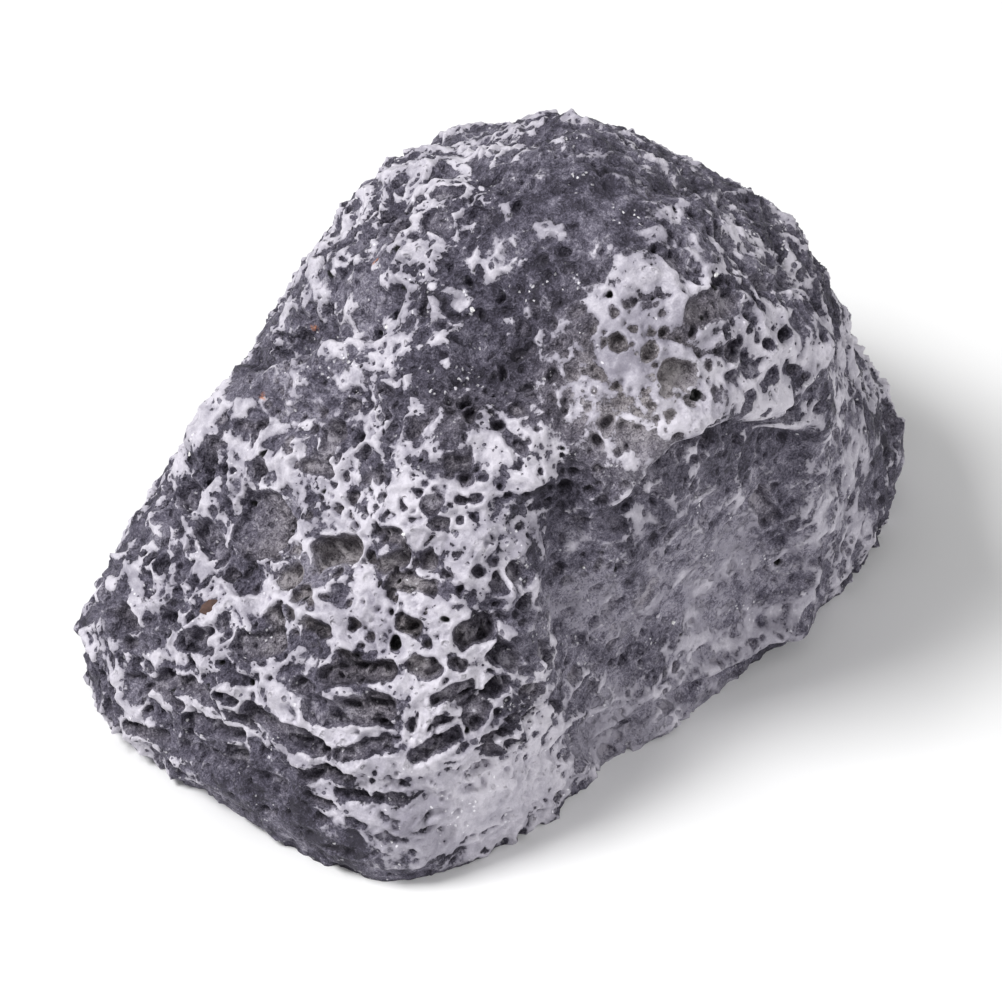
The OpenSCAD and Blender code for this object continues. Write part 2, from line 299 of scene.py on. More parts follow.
# where the holes, and then the whole dark coat, turn from violet to tan
WARM_HOLES = [(-170, 40, 12, 0.6), (-150, 35, 12, 0.5), (170, 60, 10, 0.3)]
WARM_SKIN = [(-106, 61, 8, 0.8), (-98, 57, 6, 0.5), (-145, 62, 5, 0.3)]
# wide flat holes, and round holes
TERRACE = [(-150, 20, 13, 1.0), (-170, 18, 11, 0.8), (-138, 24, 8, 0.9), (-160, 12, 9, 0.8)]
ROUND = [(-90, 60, 13, 1.0), (-72, 56, 12, 0.8), (-130, 52, 7, 0.7)]
# broad swells and dips, amount in mm
BROAD = [
    (45, 67, 8, -1.6), (-28, 66, 9, -1.3), (-40, 58, 8, -1.2), (-51, 48, 7, -1.0),
    (-47, 36, 7, -0.6), (167, 3, 9, 1.2), (-177, 2, 11, 1.5), (-163, 2, 10, 1.5),
    (-150, 2, 9, 1.4), (-137, 1, 6, 0.4), (137, 60, 7, -0.8), (148, 44, 7, 1.7), (118, 66, 6, 1.0),
    (-126, 2, 6, 2.2), (-119, 1, 5, 2.4), (-108, 4, 4, -1.2), (-44, 63, 6, -0.6),
    (-47, 46, 6, -0.7), (42, 71, 5, -0.7),
]


def near(spots):
    """Sum of soft spots over the grid."""
    out = 0
    for azimuth, tilt, width, amount in spots:
        off = np.linalg.norm(dirs - unit(azimuth, tilt), axis=1) / DEG
        out = out + amount * np.exp(-((off / width) ** 2))
    return out


# the sides turned away from the camera get random regions, the near side single features
hidden = smooth(0.05, 0.5, -(dirs @ np.array([-0.6, -0.5, 0.6])) + 0.35)
seen = smooth(0.05, 0.35, dirs @ np.array([-0.569, -0.478, 0.669]))
pale = near(PALE) + hidden * 1.6 * fractal(pos, 17, 72)
slate = near(SLATE) + hidden * 0.4 * fractal(pos, 14, 74)
worn = near(SMOOTH) + hidden * 0.9 * smooth(0.05, 0.35, fractal(pos, 20, 73))
lace = 1 - np.clip(worn, 0, 1)  # 1 on rough, holed skin
terrace = np.clip(near(TERRACE), 0, 1)
roundish = np.clip(near(ROUND), 0, 1)

# ---- lumps ----
warp = noise3(pos, 7, 21)
bent = pos + 1.6 * warp
fine_warp = noise3(pos, 2.3, 31)
crest = ridged(bent + 0.6 * fine_warp, 8.0, 3, 5)
bent_fine = bent + 0.55 * fine_warp + 0.14 * noise3(pos, 0.9, 34)
vein = ridged(bent_fine, 4.4, 2, 15)
height = (1.4 * fractal(bent, 14, 1) + 1.6 * (crest - 0.4)
          + 1.0 * fractal(bent_fine, 3.8, 9) + 0.9 * (vein - 0.4))
height *= 0.3 + 0.7 * lace

# ---- ridges, grooves and ledges: kind, height, half width in degrees, line ----
LANDFORMS = [
    ("ledge", 1.5, 4.5, (-108, 49), (-100, 51.5), (-89, 50), (-79, 46), (-70, 40)),
    ("ridge", 1.3, 2.5, (-67, 49), (-66, 41), (-66, 34), (-67, 23), (-69, 10), (-72, 4)),
    ("ridge", -1, 3, (-123, 55), (-123, 47), (-123, 38), (-123, 29)),
    ("ridge", 0.8, 3, (-127, 59), (-127, 54), (-127, 48), (-131, 39), (-133, 34)),
    ("ledge", 1.0, 3.5, (-116, 7), (-106, 9), (-93, 8), (-81, 5), (-72, 4)),
    ("ledge", -1.2, 5, (131, 48), (153, 59), (163, 66)),
    ("ridge", 0.9, 3.5, (174, 51), (-175, 46), (-172, 42)),
    ("ridge", 0.8, 3.5, (-167, 35), (-156, 37), (-145, 38), (-140, 42), (-142, 48), (-151, 52)),
    ("ridge", -0.9, 4, (174, 41), (177, 40)),
    ("ridge", 1.1, 5, (65, 74), (61, 77)),
    ("ridge", -1, 4, (50, 83), (48, 88)),
    ("ridge", 1.4, 4, (5, 71), (-12, 74)),
    ("ridge", 0.8, 4.5, (-26, 86), (59, 89), (133, 81), (138, 71)),
    ("ridge", -0.8, 4, (131, 75), (140, 67), (139, 60)),
    ("ridge", 1, 5, (168, 69), (179, 73), (-167, 75)),
    ("ridge", -0.9, 5, (-161, 65), (-141, 66), (-130, 68)),
    ("ridge", 0.9, 4, (-68, 70), (-53, 66), (-45, 60)),
    ("ridge", 0.8, 4, (-108, 81), (-92, 77)),
    ("ridge", -0.7, 5, (-64, 79), (-64, 73), (-51, 69)),
    ("ridge", 0.9, 4, (160, 78), (-165, 82)),
    ("ridge", 0.6, 4, (173, 24), (-172, 27), (-161, 29)),
    ("ridge", -0.6, 3, (-162, 19), (-153, 22), (-146, 24)),
    ("ridge", 0.7, 3, (-167, 22), (-155, 25), (-146, 28)),
    ("ridge", 0.6, 3, (-168, 14), (-158, 16), (-149, 19)),
    ("ridge", -0.5, 3, (-174, 13), (-162, 16), (-154, 14)),
]


def along(d, line, width):
    """Bell across a line of directions, and how far to its side each direction is."""
    best = np.full(len(d), 1e9)
    side = np.zeros(len(d))
    line = [unit(*place) for place in line]
    for start, end in zip(line[:-1], line[1:]):
        dist = off_line(d, start, end)
        across = np.cross(start, end - start)
        offset = ((d - start) @ across) / (np.linalg.norm(across) + 1e-9) / DEG
        side = np.where(dist < best, offset, side)
        best = np.minimum(best, dist)
    return np.exp(-((best / width) ** 2)), side


bent_dirs = dirs + (0.02 * warp + 0.008 * fine_warp)
bent_dirs /= np.linalg.norm(bent_dirs, axis=1, keepdims=True)
# painted shade: grooves and the strip below each ledge are darkened in the coats' colour
painted_crease_shade_raw = np.zeros(len(pos), np.float32)  # shade in grooves and below ledges
for kind, amount, width, *line in LANDFORMS:
    bell, side = along(bent_dirs, line, width)
    if kind == "ledge":
        # painted shade along the foot below the ledge
        foot = np.exp(-(((side * np.sign(amount) + 1.6) / 1.5) ** 2))
        painted_crease_shade_raw += (abs(amount) * foot * np.sqrt(bell)).astype(np.float32)
        rise = amount * bell * np.tanh(side / 0.7)
    else:
        # painted shade in the groove
        if amount < 0:
            painted_crease_shade_raw += (-0.7 * amount * bell**2).astype(np.float32)
        rise = amount * bell
    height = height + rise.astype(np.float32)

# ---- layers of holes ----
down = np.array([0, 0, -1]) + normals * normals[:, 2:3]
down /= np.linalg.norm(down, axis=1, keepdims=True) + 1e-6
thick = 0.20 + 0.5 * smooth(-0.3, 0.4, fractal(pos, 7, 41))  # of the walls between holes


def layer(cell, seed, share, wall, stretch=None, widest=0.62, ball=0.0):
    """Holes packed cell to cell; ball = 1 makes them round instead.
    Gives the gap to the outline, random numbers, and -1 to 1 from the upper to the lower side."""
    centre, edge, rnd, offset = cells(bent_fine, cell, seed, stretch)
    s = np.maximum(wall - edge, (centre - widest * cell * (0.6 + 0.4 * rnd[:, 6])) * 0.8)
    s = s * (1 - ball) + ball * (centre - 0.42 * cell * (0.5 + 0.5 * rnd[:, 6]))
    s = np.where(rnd[:, 3] < share, s, wall)
    tip = np.clip((offset * down).sum(1) / (0.45 * cell), -1, 1)
    return np.minimum(s, wall), rnd, tip


def hole(gap, depth, side):
    """A hole with a steep side and a faint lip."""
    return -depth * smooth(0.06, -side, gap) + 0.12 * np.exp(-(((gap - 0.2) / 0.18) ** 2))


deep = 0.5 + 0.5 * lace
worn = 1 - lace
gaps, shades, tips = [], [], []
# layer, what closes its holes, least depth, depth spread, width of the side
for (gap, rnd, tip), closing, least, spread, side in (
    (layer(4.0, 3, 0.45, thick + 0.1),
     0.45 * seen + 1.2 * terrace + 1.0 * roundish + 1.3 * worn, 0.7, 0.7, 0.5),
    (layer(4.4, 6, 0.80, 0.5 * thick + 0.1, stretch=(1, 1, 2.6), widest=0.8),
     0.3 * seen + 1.5 * (1 - smooth(0.25, 0.6, terrace)), 0.8, 0.5, 0.45),
    (layer(2.2, 4, 0.60, 0.5 * thick + 0.08, ball=0.8 * roundish),
     0.6 * terrace + 0.12 * worn, 0.6, 0.5, 0.3),
    (layer(1.2, 5, 0.50, 0.15 * thick + 0.10, widest=0.5, ball=0.7),
     0.03 * worn, 0.32, 0.22, 0.18),
):
    gap = gap + closing
    height += hole(gap, (least + spread * rnd[:, 4]) * deep, side)
    gaps.append(gap)
    shades.append(rnd[:, 5])
    tips.append(tip)
dent = layer(3.4, 12, 0.75, 0.8 * thick + 0.1, widest=0.75, ball=0.4)[0]
dent = (worn * smooth(0.35, -0.7, dent)).astype(np.float32)
height -= 0.55 * dent
pick = np.argmin(gaps, 0)
hole_gap = np.min(gaps, 0)
hole_shade = np.choose(pick, shades)
tip = np.choose(pick, tips) * smooth(0.1, -0.4, hole_gap)
hole_gap = hole_gap.astype(np.float32)

# ---- single features, placed by (azimuth, tilt) ----
# pits: radius, depth, line
PITS = [
    (1.5, 1.2, (-168.5, 41.5), (-163.5, 43.5)), (1.1, 1.0, (156, 41.5), (155, 44.5)),
    (1.4, 1.0, (154.5, 36), (158, 36)), (1.4, 0.8, (164.5, 34.5), (167.5, 34)),
    (3.8, 0.8, (174.5, 40.5)), (1.2, 0.5, (168, 47.5)), (1.4, 1.2, (-141, 34.5), (-138, 35.5)),
    (0.9, 0.5, (-156.5, 42.5), (-153, 43.5)), (0.9, 0.5, (-154, 40.5), (-147, 40.5)),
    (1.2, 0.8, (174, 22), (176.5, 24)), (1.6, 0.7, (-176, 26), (-172, 28.5)),
    (1.2, 0.9, (-161, 27), (-152.5, 29.5)), (1.1, 0.8, (172.5, 16), (180, 17.5)),
    (0.6, 0.5, (170.5, 14), (176.5, 14)), (0.9, 0.8, (178, 12.5), (-173, 15)),
    (1.2, 0.9, (-172, 18.5), (-165.5, 18.5), (-161, 18)), (1.4, 0.9, (-162, 22.5), (-152, 24.5)),
    (0.9, 0.8, (-145, 26.5), (-140.5, 28)), (1.0, 0.9, (-147, 19.5), (-142.5, 21.5)),
    (0.8, 0.6, (-157.5, 18), (-151.5, 20.5)), (0.8, 0.5, (-161.5, 14), (-156, 15.5)),
    (0.8, 0.7, (178.5, 8.5), (-171, 11), (-165.5, 10.5)), (0.8, 0.6, (168, 6), (174, 7.5)),
    (0.7, 0.5, (-157, 13), (-153.5, 13)), (0.8, 0.5, (-151.5, 13.5), (-149, 13.5)),
    (0.8, 0.5, (-174.5, 17)), (1.2, 0.7, (161, 19), (163.5, 19)), (0.9, 0.5, (155, 18)),
    (0.6, 0.6, (159, 26)), (0.9, 0.6, (169, 23)), (1.0, 0.6, (-174, 31), (-172.5, 30.5)),
    (1.0, 0.6, (-166, 32.5), (-164, 32)), (0.8, 0.5, (-159.5, 34)),
    (1.1, 0.5, (-150.5, 35.5), (-149, 35.5)), (1.0, 0.6, (174.5, 33)), (0.5, 0.5, (177.5, 35.5)),
    (1.1, 0.6, (-175, 36), (-173.5, 37.5)), (0.9, 0.7, (179, 51.5), (-174, 52.5)),
    (1.0, 0.5, (-161.5, 53.5)), (0.9, 0.5, (-156.5, 46.5), (-153.5, 46.5)),
    (1.1, 0.5, (-148, 51)), (1.0, 0.5, (-146, 48.5)), (0.6, 0.4, (-142.5, 49)),
    (0.7, 0.4, (-139.5, 51.5)), (1.0, 0.4, (-144.5, 55.5), (-142, 55.5)),
    (1.4, 0.7, (-177.5, 57), (-176.5, 54.5)), (0.7, 0.5, (-170.5, 64)), (0.4, 0.4, (-176, 65.5)),
    (0.5, 0.4, (-162.5, 62.5)), (0.5, 0.4, (-163, 61)), (0.5, 0.5, (143, 41)),
    (0.6, 0.4, (144, 36)), (0.7, 0.4, (162, 49.5)), (0.7, 0.4, (171.5, 53)),
    (0.7, 0.4, (157, 49.5), (162, 52.5)), (0.8, 0.5, (160.5, 8.5)), (0.7, 0.5, (164.5, 16.5)),
    (1.1, 0.5, (-148, 30.5), (-146, 30.5)), (0.8, 0.5, (-142, 31)), (1.2, 0.8, (-136, 31.5)),
    (1.2, 0.8, (-136.5, 27.5)), (0.7, 0.5, (86, 74.5), (82, 75.5)),
    (1.0, 0.6, (130, 81), (121, 81)), (1.2, 0.6, (93.5, 84.5), (97.5, 87)),
    (1.1, 0.4, (-121.5, 86)), (1.2, 0.4, (144, 85), (168, 85.5)), (0.6, 0.4, (142, 68.5)),
    (0.5, 0.5, (134.5, 60.5), (143.5, 63.5)), (0.6, 0.5, (-171, 64.5), (-167, 64.5)),
    (0.8, 0.4, (-127, 69), (-123.5, 69)), (1.0, 0.7, (-103, 63.5)), (0.4, 0.4, (-176, 82)),
    (1.0, 0.7, (-98.5, 61)), (1.5, 0.9, (-96.5, 57.5), (-95, 57)), (1.2, 0.7, (-83, 55.5)),
    (0.4, 0.4, (-86, 56.5)), (0.6, 0.6, (-93.5, 61.5)), (0.4, 0.4, (-91.5, 60)),
    (0.6, 0.5, (-76, 53)), (0.5, 0.4, (-78, 56)), (0.5, 0.3, (-89, 56)), (0.4, 0.4, (-90.5, 54)),
    (1.1, 0.5, (-79.5, 66.5), (-79, 66)), (1.1, 0.6, (-66, 57.5), (-63, 56)),
    (0.8, 0.5, (-69.5, 59)), (1.5, 0.4, (-85.5, 61), (-78, 59.5)), (1.1, 0.5, (-81, 52.5)),
    (0.8, 0.5, (-76.5, 50)), (0.8, 0.5, (-74, 46.5), (-74.5, 44.5)), (1.2, 0.4, (-83.5, 50.5)),
    (0.6, 0.4, (-80, 48)), (1.0, 0.5, (-50.5, 59.5)), (0.8, 0.6, (-58, 64)),
    (0.8, 0.7, (-61.5, 38.5)), (0.6, 0.5, (-64.5, 38.5)), (0.7, 0.5, (-59.5, 32)),
    (0.8, 0.3, (-53, 31)), (0.4, 0.4, (-96.5, 66.5)), (0.4, 0.4, (-98.5, 64)),
    (0.4, 0.4, (-106, 66.5)), (0.6, 0.5, (-71, 52)), (0.5, 0.4, (-73, 60.5)),
    (0.5, 0.4, (-72, 55.5)), (1.2, 0.8, (-76, 35), (-73, 29.5)), (1.1, 0.4, (-102.5, 46)),
    (0.8, 0.4, (-103.5, 40.5)), (0.8, 0.4, (-93.5, 36)), (0.5, 0.3, (-85, 25.5)),
    (0.5, 0.3, (-97, 32)), (0.4, 0.3, (-115.5, 42)), (0.9, 0.4, (-113, 33.5), (-114, 32)),
    (1.1, 0.3, (-105, 31), (-103, 33)), (0.7, 0.3, (-83, 34)), (0.7, 0.3, (-66, 29)),
    (0.8, 0.3, (-60.5, 24)), (0.8, 0.3, (-56, 17.5)), (0.7, 0.3, (-59.5, 26.5)),
    (1.0, 1.0, (-128, 29.5), (-129, 31.5)), (1.0, 0.9, (-130, 25)), (0.7, 0.5, (-126, 20)),
    (0.4, 0.4, (-128, 19.5)), (0.6, 0.4, (-125, 9)), (0.7, 0.5, (-133, 20)),
    (1.1, 0.9, (-135.5, 32), (-133.5, 30.5)), (1.0, 0.8, (-137, 27.5), (-135, 28)),
    (1.2, 0.5, (-138.5, 25), (-139.5, 23.5)), (1.0, 0.5, (-136.5, 18.5)),
    (0.7, 0.5, (-126, 20.5)), (0.4, 0.4, (-128, 20)), (0.6, 0.4, (-125.5, 9)),
    (0.5, 0.5, (-132.5, 20), (-133.5, 19.5)), (0.5, 0.4, (-121.5, 2)),
    (0.5, 0.4, (-141, 5.5), (-136, 5)), (0.5, 0.4, (-139.5, 2), (-137, 1)),
    (0.4, 0.3, (-138, 14)), (0.3, 0.3, (-143, 13.5)), (0.4, 0.3, (-132.5, 1)),
]
# pale runs of the coat: radius, line
STREAKS = [
    (0.9, (176, 50.5), (177.5, 48.5), (-178, 46.5), (-174.5, 44), (-172.5, 42)),
    (0.8, (-175.5, 50), (-170.5, 49), (-164, 46.5), (-161.5, 44.5)),
    (0.8, (-156, 57), (-155.5, 54), (-153, 51.5), (-150, 48.5), (-146, 46.5), (-143, 45),
     (-141.5, 42)),
    (0.9, (-168, 35), (-163.5, 34.5), (-161, 32)),
    (1.0, (-160, 39.5), (-154.5, 38), (-148.5, 38), (-146, 38.5)),
    (1.2, (-145.5, 37.5), (-144, 34.5)), (1.1, (-142, 48), (-142.5, 46.5)),
    (0.8, (159.5, 32.5), (165, 31.5), (167.5, 30.5), (173, 30.5), (179, 30.5), (-176.5, 31.5),
     (-173.5, 34.5)),
    (0.6, (161.5, 28.5), (165, 27)), (0.7, (157, 22.5), (161.5, 22.5), (165, 23)),
    (0.4, (-179.5, 23.5), (177.5, 21.5), (173.5, 19), (168, 16.5)),
    (0.5, (176, 26), (179.5, 24.5), (-179.5, 23.5)), (0.5, (170, 24.5), (173, 24), (176, 26.5)),
    (0.5, (-176.5, 19), (-171, 23), (-169.5, 25.5), (-166.5, 29)),
    (0.6, (-168.5, 22), (-166, 20.5), (-163, 19), (-159.5, 19.5)),
    (0.4, (-159, 19.5), (-154, 21.5), (-150, 22)), (0.2, (-150.5, 22), (-150, 24.5)),
    (1.1, (-147.5, 24), (-144, 22.5)), (0.5, (-146.5, 26), (-143.5, 25.5), (-140, 26)),
    (0.2, (-138, 29), (-138.5, 26.5), (-140, 24.5), (-141.5, 21.5), (-144, 19)),
    (0.6, (-151, 28.5), (-148, 27.5), (-144.5, 28), (-142, 30.5)),
    (1.0, (-156, 17.5), (-151.5, 18), (-150, 17)),
    (0.4, (-180, 15.5), (-175.5, 16), (-171, 15.5), (-165, 15.5), (-160, 16.5)),
    (0.3, (167.5, 15.5), (168, 12.5), (173, 12.5), (179, 14.5)),
    (0.4, (157.5, 15), (162, 12.5), (166, 10), (167, 6)),
    (0.8, (151, 33.5), (148.5, 37), (148, 42), (151.5, 48.5), (159, 54.5)),
    (0.7, (154.5, 47), (161, 47.5), (170.5, 49.5)), (0.6, (164, 51.5), (169, 55), (174.5, 56.5)),
    (0.7, (-180, 64), (-170, 61), (-165.5, 58)), (0.5, (-169, 66), (-162, 65.5)),
    (0.8, (-140.5, 61.5), (-136.5, 61), (-131, 62.5)), (0.6, (-156, 49), (-153, 48)),
    (0.7, (-144.5, 53), (-137.5, 51.5)),
    (0.2, (-179, 46), (-176.5, 43), (-175, 40), (-177.5, 37.5), (174.5, 36.5), (167.5, 36.5)),
    (0.6, (74.5, 65.5), (73, 72.5), (75, 79.5), (81, 87), (-142, 89)),
    (0.3, (114.5, 78.5), (107.5, 80), (124.5, 85.5)),
    (0.3, (118, 82), (139, 82.5), (145, 80.5), (150.5, 79.5)),
    (0.8, (161, 77), (165.5, 79.5), (168, 82), (-169.5, 82.5)), (0.5, (165.5, 78.5), (-177, 78)),
    (0.3, (-167, 75), (-161.5, 76.5), (-149, 76.5), (-144, 77)),
    (0.4, (-127, 73.5), (-120.5, 73), (-113.5, 73.5)),
    (0.5, (41, 88), (-128.5, 88.5)), (0.5, (-94.5, 85), (-100, 83.5)),
    (0.8, (-39, 78.5), (-32, 75.5)), (0.5, (-47, 77), (-55.5, 75), (-50.5, 72.5)),
    (0.4, (-67.5, 81)), (0.4, (21.5, 77.5), (-10.5, 80.5)), (0.7, (169, 69.5), (171, 71)),
    (0.5, (176.5, 66.5), (-174.5, 67.5), (-163.5, 66)), (0.6, (-169, 61.5), (-163.5, 60)),
    (0.2, (-162, 62.5), (-155, 62)), (0.6, (-140, 62), (-134.5, 62.5), (-131.5, 62.5)),
    (0.5, (-133, 61), (-129, 59), (-125, 56.5), (-124, 54.5)),
    (0.7, (-107, 63.5), (-105, 61.5), (-102, 59)), (0.6, (-96, 68), (-90, 67)),
    (0.2, (-101.5, 73), (-102, 70.5)), (0.4, (-88.5, 72.5)), (0.2, (153.5, 61.5), (154.5, 65.5)),
    (0.2, (159.5, 68.5), (162.5, 71), (172, 73.5)),
    (0.8, (118, 66.5), (121.5, 63), (123, 58.5)), (0.7, (118.5, 70), (135.5, 74)),
    (0.7, (-105.5, 63.5), (-106, 61.5), (-104.5, 59), (-101, 58.5)),
    (0.5, (-92.5, 58.5), (-87, 57.5), (-81.5, 57), (-78, 56.5)),
    (1.2, (-95, 53.5), (-90.5, 51), (-87, 51.5)), (0.6, (-90.5, 55), (-87.5, 53.5)),
    (0.7, (-92.5, 57.5), (-87.5, 56)), (0.8, (-105, 51), (-101.5, 51), (-99, 51.5)),
    (0.5, (-83, 63), (-75.5, 62.5), (-70, 61.5)),
    (0.6, (-89.5, 67), (-85.5, 66), (-83.5, 63.5), (-86, 63)), (0.5, (-96.5, 68.5), (-92, 67.5)),
    (0.8, (-68.5, 70.5), (-66, 69), (-59, 68)), (0.9, (-77, 69.5), (-75, 68)),
    (0.7, (-64.5, 63.5), (-65.5, 62.5)), (0.6, (-64, 61), (-57, 59), (-56.5, 57)),
    (0.4, (-44, 52.5), (-39.5, 48.5), (-46.5, 49.5)), (0.5, (-43.5, 55.5), (-45, 55)),
    (0.2, (-41.5, 63), (-50.5, 64), (-59.5, 65)), (0.4, (-98, 64.5), (-101, 64)),
    (0.6, (-72, 45), (-69.5, 42)), (0.4, (-71.5, 51), (-71.5, 49.5)),
    (0.2, (-69, 44), (-68, 40.5), (-69, 39), (-67.5, 34)),
    (0.3, (-69.5, 54), (-69, 51.5), (-70.5, 50)),
    (0.4, (-36.5, 77), (-47.5, 76.5), (-53.5, 75), (-50, 72.5)), (0.4, (-68, 81)),
    (0.8, (-91, 77.5), (-94, 79.5)), (0.6, (-43.5, 31), (-43.5, 26), (-42, 21.5)),
    (0.5, (-39.5, 16)), (0.2, (-84.5, 10), (-78.5, 8.5), (-72.5, 7.5)),
    (0.6, (-98.5, 18), (-88.5, 13.5)), (0.5, (-71, 10), (-69.5, 11)),
    (0.2, (-127, 32.5), (-125.5, 29), (-125.5, 26.5)), (0.2, (-77, 30), (-72.5, 22.5)),
    (0.2, (-137.5, 29.5), (-139, 26)), (0.2, (-126.5, 32.5), (-125, 28.5)),
]
# open casting bubbles: radius, azimuth, tilt
BUBBLES = [
    (0.31, 167, 49.5), (0.37, -169, 62), (0.31, -173.5, 49.5), (0.25, -164, 51.5),
    (0.25, -151.5, 56), (0.43, -144, 36.5), (0.62, -151.5, 33), (0.31, 170.5, 21.5),
    (0.31, -179, 22.5), (0.25, 172.5, 17.5), (0.25, 174.5, 15), (0.25, 180, 19), (0.28, 160, 8),
    (0.31, -159.5, 12.5), (0.37, -169, 35), (0.28, -145, 22.5), (0.28, -171, 19),
    (0.25, -153.5, 40.5), (0.40, -173.5, 22), (0.25, 109.5, 80.5), (0.28, 127, 86),
    (0.22, 179, 66), (0.31, 172.5, 77.5), (0.25, 169, 72), (0.37, -98.5, 68.5),
    (0.25, -140.5, 80), (0.25, -110, 78.5), (0.31, 141.5, 68), (0.68, -94, 54.5),
    (0.43, -78.5, 61.5), (0.43, -98, 68.5), (0.31, -69, 62.5), (0.28, -61.5, 69),
    (0.25, -85, 67.5), (0.25, -90, 65), (0.25, -64, 65), (0.25, -54.5, 58), (0.22, -105, 55),
    (0.50, -71.5, 19), (0.25, -91.5, 31.5), (0.25, -115.5, 33.5), (0.22, -95, 18.5),
    (0.22, -65, 9),
]
# white mineral flecks, then rust spots: radius, azimuth, tilt
FLECKS = [
    (0.44, -165, 78.5), (0.38, 176, 74), (0.29, 33, 88), (0.27, -146.5, 66), (0.21, -69, 24.5),
    (0.35, -100, 26), (0.21, -69, 12), (0.24, -53, 3.5),
]
RUST = [(0.45, 136, 63), (0.4, 144, 77), (0.4, 164, 66), (0.3, 158, 55)]
REACH = 0.8  # how far outside a feature its distance is followed

bent_pos = pos + 0.62 * noise3(pos, 2.6, 81) + 0.34 * noise3(pos, 1.15, 84)
bent_pos = bent_pos.astype(np.float32)
swing = 0.9 * noise(pos, 3.4, 87) + 0.5 * noise(pos, 1.4, 88)


def on_rock(azimuth, tilt):
    d = unit(azimuth, tilt)
    return (d * float(core_radius(d[None])[0]) * STRETCH).astype(np.float32)


def far():
    return np.full(len(pos), REACH, np.float32)


def line_gap(line, radius):
    """Distance in mm to the outline of a run of capsules; far points stay at REACH."""
    line = [on_rock(*place) for place in line]
    out = far()
    if len(line) == 1:
        line = line * 2
    for start, end in zip(line[:-1], line[1:]):
        mid, run = (start + end) / 2, end - start
        length2 = float(run @ run)
        box = math.sqrt(length2) / 2 + radius + REACH + 1.5
        close = np.abs(pos - mid).max(1) < box
        q = bent_pos[close]
        if length2 > 1e-6:
            t = np.clip(((q - start) @ run) / length2, 0, 1)
        else:
            t = np.zeros(len(q), np.float32)
        dist = np.linalg.norm(q - start - t[:, None] * run, axis=1) - radius
        out[close] = np.minimum(out[close], dist)
    return out


def spots_gap(spots):
    """Distance in mm to the nearest of some round spots."""
    out = far()
    for radius, *place in spots:
        out = np.minimum(out, line_gap([place], radius))
    return out


pit_gap = far()
for radius, depth, *line in PITS:
    gap = line_gap(line, radius) + 0.45 * min(radius, 1.0) * swing
    height += hole(gap, depth * 1.35 * (0.6 + 0.4 * deep), 0.38)
    pit_gap = np.minimum(pit_gap, gap)
streak_gap = far()
for radius, *line in STREAKS:
    gap = line_gap(line, radius) + 0.9 * min(radius, 0.8) * swing
    height += 0.15 * min(radius / 0.5, 1) * smooth(0.4, -0.3, gap)
    streak_gap = np.minimum(streak_gap, gap)
bubble_gap, fleck_gap, rust_gap = (spots_gap(spots) for spots in (BUBBLES, FLECKS, RUST))
height += 0.2 * smooth(0.1, -0.2, fleck_gap)
hole_gap = np.minimum(hole_gap, pit_gap)

# small casting bubbles scattered over the skin
centre, _, rnd, _ = cells(pos, 4.2, 12)
scattered = np.where(rnd[:, 6] < 0.16 + 0.1 * lace, centre - (0.20 + 0.22 * rnd[:, 7]), 2.0)
bubble_gap = np.minimum(bubble_gap, scattered)
height += -0.9 * smooth(0.05, -0.30, bubble_gap)

# ---- grain, and the last of the carving ----
grain = noise(bent_fine, 1.1, 51)
fine_grain = noise(pos, 0.55, 52)
grain_depth = 0.12 + 0.06 * smooth(0, -0.4, hole_gap)
height += (grain_depth * (grain + 0.7 * fine_grain) * (0.5 + 0.5 * lace)
           + 0.05 * noise(pos, 0.36, 61))
height = height - height.mean() - 0.25 + near(BROAD)
height = np.clip(height, -3.2, 2.4)

# ---- the coats ----
relief = (height - blur(height, 60)).astype(np.float32)
fine_relief = (height - blur(height, 5)).astype(np.float32)
# raised grain lighter and its hollows darker in both coats: partly darker wash and dry-brushed
# edges, partly painted highlight and painted shade on the fine relief
wash_and_painted_relief_light = np.clip(fine_relief / (fine_relief.std() + 1e-9), -2.5, 2.5)
mottle = standard(fractal(bent_fine, 2.8, 91))
patches = standard(fractal(bent, 7.0, 92))
grain, fine_grain = standard(grain), standard(fine_grain)
# the painted shade of grooves and ledges, at most 1.3
painted_crease_shade = np.clip(painted_crease_shade_raw, 0, 1.3)
# pale above 0, dark below
coat = (0.45 * standard(vein + 0.8 * crest) * (0.35 + 0.65 * lace)
        + 0.4 * np.clip(relief / 0.35, -2, 2) + np.clip(hole_gap / 0.25, -1.0, 1.0)
        + 0.45 * mottle + 0.32 * patches + 0.22 * grain + 0.14 * fine_grain)
coat = (coat - coat.mean()) / coat.std() + 0.75 * pale - 0.42
# less pale coat where grooves and ledges carry painted shade
coat = coat - 0.9 * painted_crease_shade - 0.9 * dent
in_pit = smooth(0.06, -0.10, pit_gap)
coat = coat - 0.1 * seen - 1.3 * in_pit
coat = (coat + 1.25 * smooth(0.45, -0.3, streak_gap) * (1 - in_pit)
        + 3.0 * smooth(0.1, -0.1, fleck_gap))
# width of the edge between the coats
fade = smooth(0.02, 0.5, fractal(pos, 5.5, 95))
crisp = smooth(0.6, 0.15, np.abs(hole_gap - 0.03))
soft = 0.18 + 0.65 * worn + 1.5 * fade * (1 - 0.75 * crisp)
